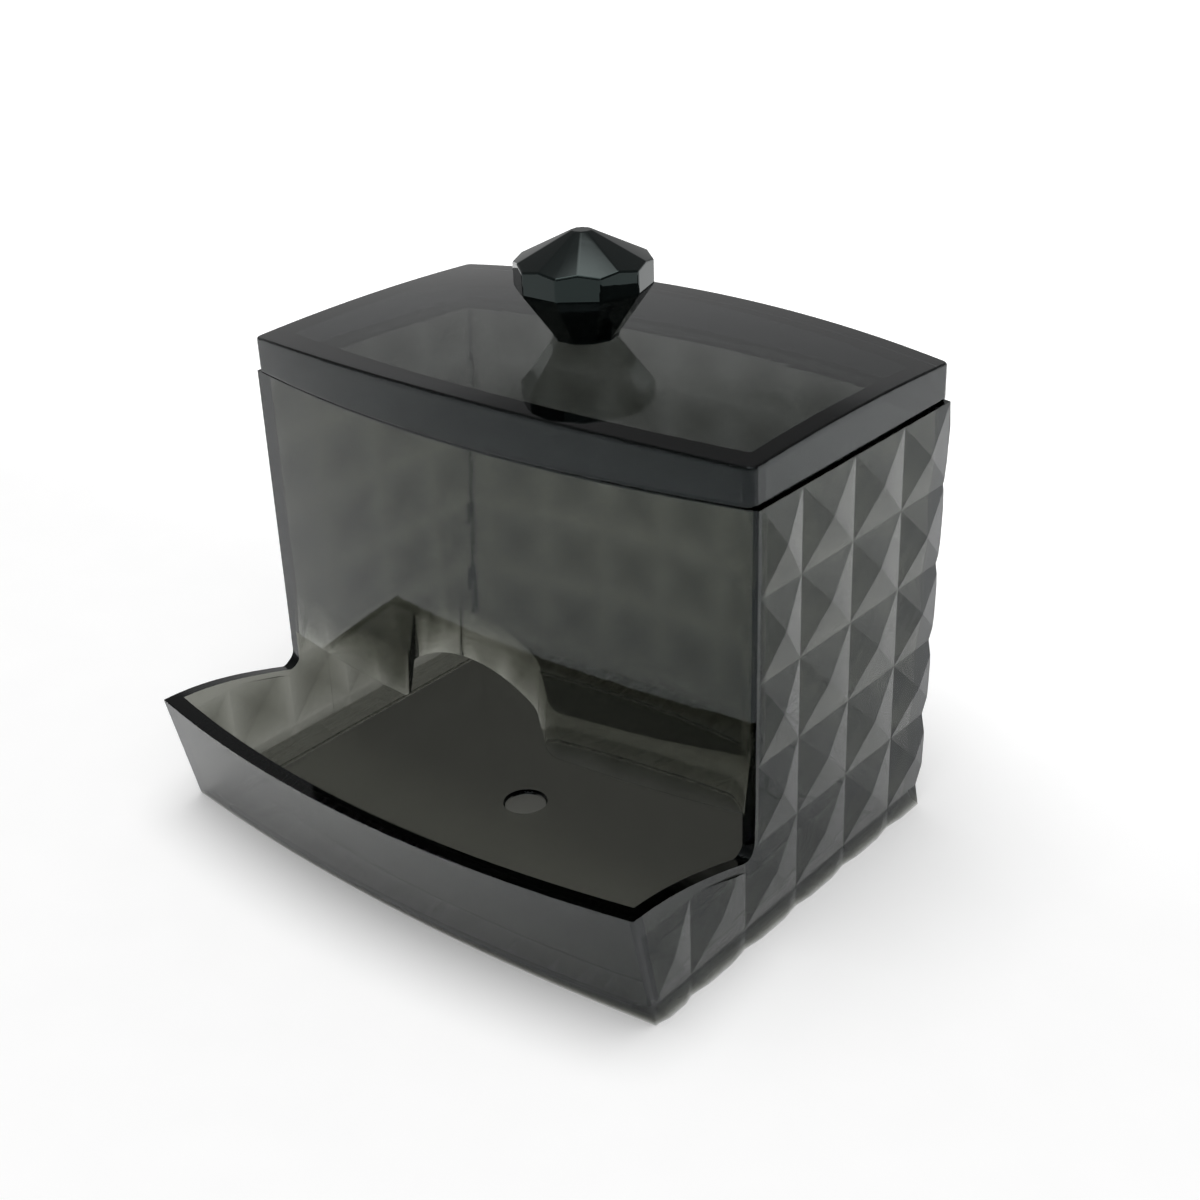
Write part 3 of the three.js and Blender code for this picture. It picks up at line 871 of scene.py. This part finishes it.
class SWABBOX_OT_lid(bpy.types.Operator):
    """Model the lift-off lid"""
    bl_idname = "swabbox.lid"
    bl_label = "Lid"

    def execute(self, context):
        lid = lid_shell(context.scene.swab_box_body, context.scene.swab_box_lid)
        finish = context.scene.swab_box_finish
        material = clear_polystyrene("Smoke polystyrene, moulded lid",
                                     finish.lid_tint, finish.lid_dye, finish.clear_painted_reflection_tint)
        finish_piece(lid, material, "lid", "lid")
        return {'FINISHED'}


class SWABBOX_OT_knob(bpy.types.Operator):
    """Model the gem-cut knob"""
    bl_idname = "swabbox.knob"
    bl_label = "Knob"

    def execute(self, context):
        scene = context.scene
        seat = lid_top(scene.swab_box_body, scene.swab_box_lid)
        knob = gem_knob(seat, scene.swab_box_lid.plate, scene.swab_box_knob)
        finish = scene.swab_box_finish
        material = dark_polystyrene("Dark polystyrene, moulded knob", finish.knob_shade, finish.knob_painted_reflection_tint)
        finish_piece(knob, material, "lid", "knob")
        return {'FINISHED'}


# Painted light: the table glows though no lamp is under it, weakly up to the first line behind the box and at
# its full from the second
PAINTED_GLOW_LINES = (20 * MM, 200 * MM)
PAINTED_GLOW_STRENGTHS = (0.15, 0.5)

# The acrylic sheet's white varies by a few hundredths, in patches drawn coarse enough to show
SHEET_GRAIN = 12 * MM
SHEET_SHADES = (0.97, 1.0)

# Brightness of the room at each height, where 0 is level with the table and 1 is straight overhead
ROOM_HEIGHTS = ((0.0, 0.55), (0.36, 0.45), (0.44, 0.2), (0.8, 0.25), (0.9, 0.5))

# The room is dimmer on its near side, at the table's front right: the share of the light left there, and
# how squarely a direction points to that side before it is that dim
NEAR_SIDE = Vector((0.654, -0.756, 0))
NEAR_SHARE = 0.3
NEAR_REACH = 0.6

# Each softbox: the direction it hangs in, how squarely a direction points to it at the outside and at the
# inside of its soft border, and its brightness
OVERHEAD_SOFTBOX = (Vector((0, 0, 1)), 0.86, 0.94, 3.6)
FRONT_SOFTBOX = (Vector((0.420, -0.486, 0.766)), 0.80, 0.92, 0.8)


def ramp(tree, socket, stops):
    """Turns a value from 0 to 1 into a grey that is given at a few places and eases from one to the next."""
    node = add_node(tree, 'ShaderNodeValToRGB', (), {"Fac": socket})
    node.color_ramp.interpolation = 'EASE'
    while len(node.color_ramp.elements) < len(stops):
        node.color_ramp.elements.new(1)
    for element, (place, grey) in zip(node.color_ramp.elements, stops):
        element.position = place
        element.color = (grey, grey, grey, 1)
    return node.outputs[0]


def painted_glow_table(white):
    """Matt white acrylic sheet with painted light: it glows, with no lamp under it, behind the box and less
    in front.
    """
    material = bpy.data.materials.new("Matt white acrylic, painted glow")
    tree = clear_tree(material)
    place = add_node(tree, 'ShaderNodeTexCoord').outputs["Object"]
    grain = add_node(tree, 'ShaderNodeTexNoise', {
        "Scale": 1 / SHEET_GRAIN, "Detail": 2},
        {"Vector": place})
    tone = add_node(tree, 'ShaderNodeMapRange', {
        "To Min": SHEET_SHADES[0], "To Max": SHEET_SHADES[1]},
        {"Value": grain.outputs[0]})
    paint = add_node(tree, 'ShaderNodeVectorMath', {
        "operation": 'SCALE', 0: white},
        {"Scale": tone.outputs[0]})
    diffuse = add_node(tree, 'ShaderNodeBsdfDiffuse', (), {"Color": paint.outputs[0]})
    behind = add_node(tree, 'ShaderNodeSeparateXYZ', (), {0: place})
    # Painted glow: its strength grows with the distance behind the box
    power = add_node(tree, 'ShaderNodeMapRange', {
        "interpolation_type": 'SMOOTHSTEP', "From Min": PAINTED_GLOW_LINES[0], "From Max": PAINTED_GLOW_LINES[1],
        "To Min": PAINTED_GLOW_STRENGTHS[0], "To Max": PAINTED_GLOW_STRENGTHS[1]},
        {"Value": behind.outputs["Y"]})
    painted_glow = add_node(tree, 'ShaderNodeEmission', (), {"Strength": power.outputs[0]})
    lit = add_node(tree, 'ShaderNodeAddShader', (), {0: diffuse.outputs[0], 1: painted_glow.outputs[0]})
    add_node(tree, 'ShaderNodeOutputMaterial', (), {"Surface": lit.outputs[0]})
    return material


def studio_room():
    """A dim room, lighter low down on its far side, with a softbox overhead and one at the front right."""
    world = bpy.data.worlds.new("Studio room")
    tree = clear_tree(world)
    toward = add_node(tree, 'ShaderNodeTexCoord').outputs["Generated"]
    height = add_node(tree, 'ShaderNodeSeparateXYZ', (), {0: toward})
    room = ramp(tree, height.outputs["Z"], ROOM_HEIGHTS)
    facing = add_node(tree, 'ShaderNodeVectorMath', {
        "operation": 'DOT_PRODUCT', 1: NEAR_SIDE},
        {0: toward})
    side = add_node(tree, 'ShaderNodeMapRange', {
        "From Min": 0.0, "From Max": NEAR_REACH, "To Min": 1.0, "To Max": NEAR_SHARE},
        {"Value": facing.outputs["Value"]})
    light = add_node(tree, 'ShaderNodeMath', {"operation": 'MULTIPLY'}, {0: room, 1: side.outputs[0]})
    for direction, start, full, power in (OVERHEAD_SOFTBOX, FRONT_SOFTBOX):
        aim = add_node(tree, 'ShaderNodeVectorMath', {
            "operation": 'DOT_PRODUCT', 1: direction},
            {0: toward})
        softbox = add_node(tree, 'ShaderNodeMapRange', {
            "interpolation_type": 'SMOOTHSTEP', "From Min": start, "From Max": full,
            "To Min": 0.0, "To Max": power},
            {"Value": aim.outputs["Value"]})
        light = add_node(tree, 'ShaderNodeMath', {
            "operation": 'ADD'},
            {0: light.outputs[0], 1: softbox.outputs[0]})
    background = add_node(tree, 'ShaderNodeBackground', (), {"Strength": light.outputs[0]})
    add_node(tree, 'ShaderNodeOutputWorld', (), {"Surface": background.outputs[0]})
    return world


class SWABBOX_OT_stage(bpy.types.Operator):
    """Set up the table, the soft light and the camera"""
    bl_idname = "swabbox.stage"
    bl_label = "Stage"

    def execute(self, context):
        scene = context.scene
        stage = scene.swab_box_stage
        deselect_all()
        bpy.ops.mesh.primitive_plane_add(size=stage.table_side)
        table = bpy.context.object
        table.name = "table"
        table.data.materials.append(painted_glow_table(scene.swab_box_finish.table_white))
        scene.world = studio_room()
        data = bpy.data.cameras.new("camera")
        data.lens = stage.focal_length
        data.sensor_width = stage.sensor_width
        camera = bpy.data.objects.new("camera", data)
        turn = (Matrix.Rotation(stage.azimuth, 4, 'Z')
                @ Matrix.Rotation(math.pi / 2 - stage.elevation, 4, 'X')
                @ Matrix.Rotation(stage.roll, 4, 'Z'))
        place = Vector(stage.camera_place) + Vector((0, CENTRE_Y, 0))
        camera.matrix_world = Matrix.Translation(place) @ turn
        scene.collection.objects.link(camera)
        scene.camera = camera
        scene.view_settings.view_transform = 'Standard'
        # A look through the lid, the box and the tray crosses many faces of clear plastic
        scene.cycles.max_bounces = 24
        scene.cycles.transmission_bounces = 24
        scene.cycles.transparent_max_bounces = 16
        scene.cycles.glossy_bounces = 12
        return {'FINISHED'}


class SWABBOX_PT_panel(bpy.types.Panel):
    """The swab box's pieces and sizes"""
    bl_label = "Swab Box"
    bl_idname = "SWABBOX_PT_panel"
    bl_space_type = 'VIEW_3D'
    bl_region_type = 'UI'
    bl_category = "Swab Box"

    def draw(self, context):
        for operator in OPERATORS:
            self.layout.operator(operator.bl_idname)
        for name in GROUPS:
            group = getattr(context.scene, name)
            box = self.layout.box()
            for prop in group.bl_rna.properties:
                if not prop.is_readonly and prop.identifier != "name":
                    box.prop(group, prop.identifier)


GROUPS = {
    "swab_box_body": SwabBoxBodySizes,
    "swab_box_lid": SwabBoxLidSizes,
    "swab_box_knob": SwabBoxKnobSizes,
    "swab_box_finish": SwabBoxFinish,
    "swab_box_stage": SwabBoxStageSizes,
}
OPERATORS = (SWABBOX_OT_stage, SWABBOX_OT_container, SWABBOX_OT_lid, SWABBOX_OT_knob)


def register():
    for name, group in GROUPS.items():
        bpy.utils.register_class(group)
        setattr(bpy.types.Scene, name, bpy.props.PointerProperty(type=group))
    for operator in OPERATORS:
        bpy.utils.register_class(operator)
    bpy.utils.register_class(SWABBOX_PT_panel)


def unregister():
    bpy.utils.unregister_class(SWABBOX_PT_panel)
    for operator in reversed(OPERATORS):
        bpy.utils.unregister_class(operator)
    for name, group in GROUPS.items():
        delattr(bpy.types.Scene, name)
        bpy.utils.unregister_class(group)


def main():
    """Makes the stage and every piece."""
    register()
    bpy.ops.swabbox.stage()
    bpy.ops.swabbox.container()
    bpy.ops.swabbox.lid()
    bpy.ops.swabbox.knob()
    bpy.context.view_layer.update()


if __name__ == "__main__":
    main()
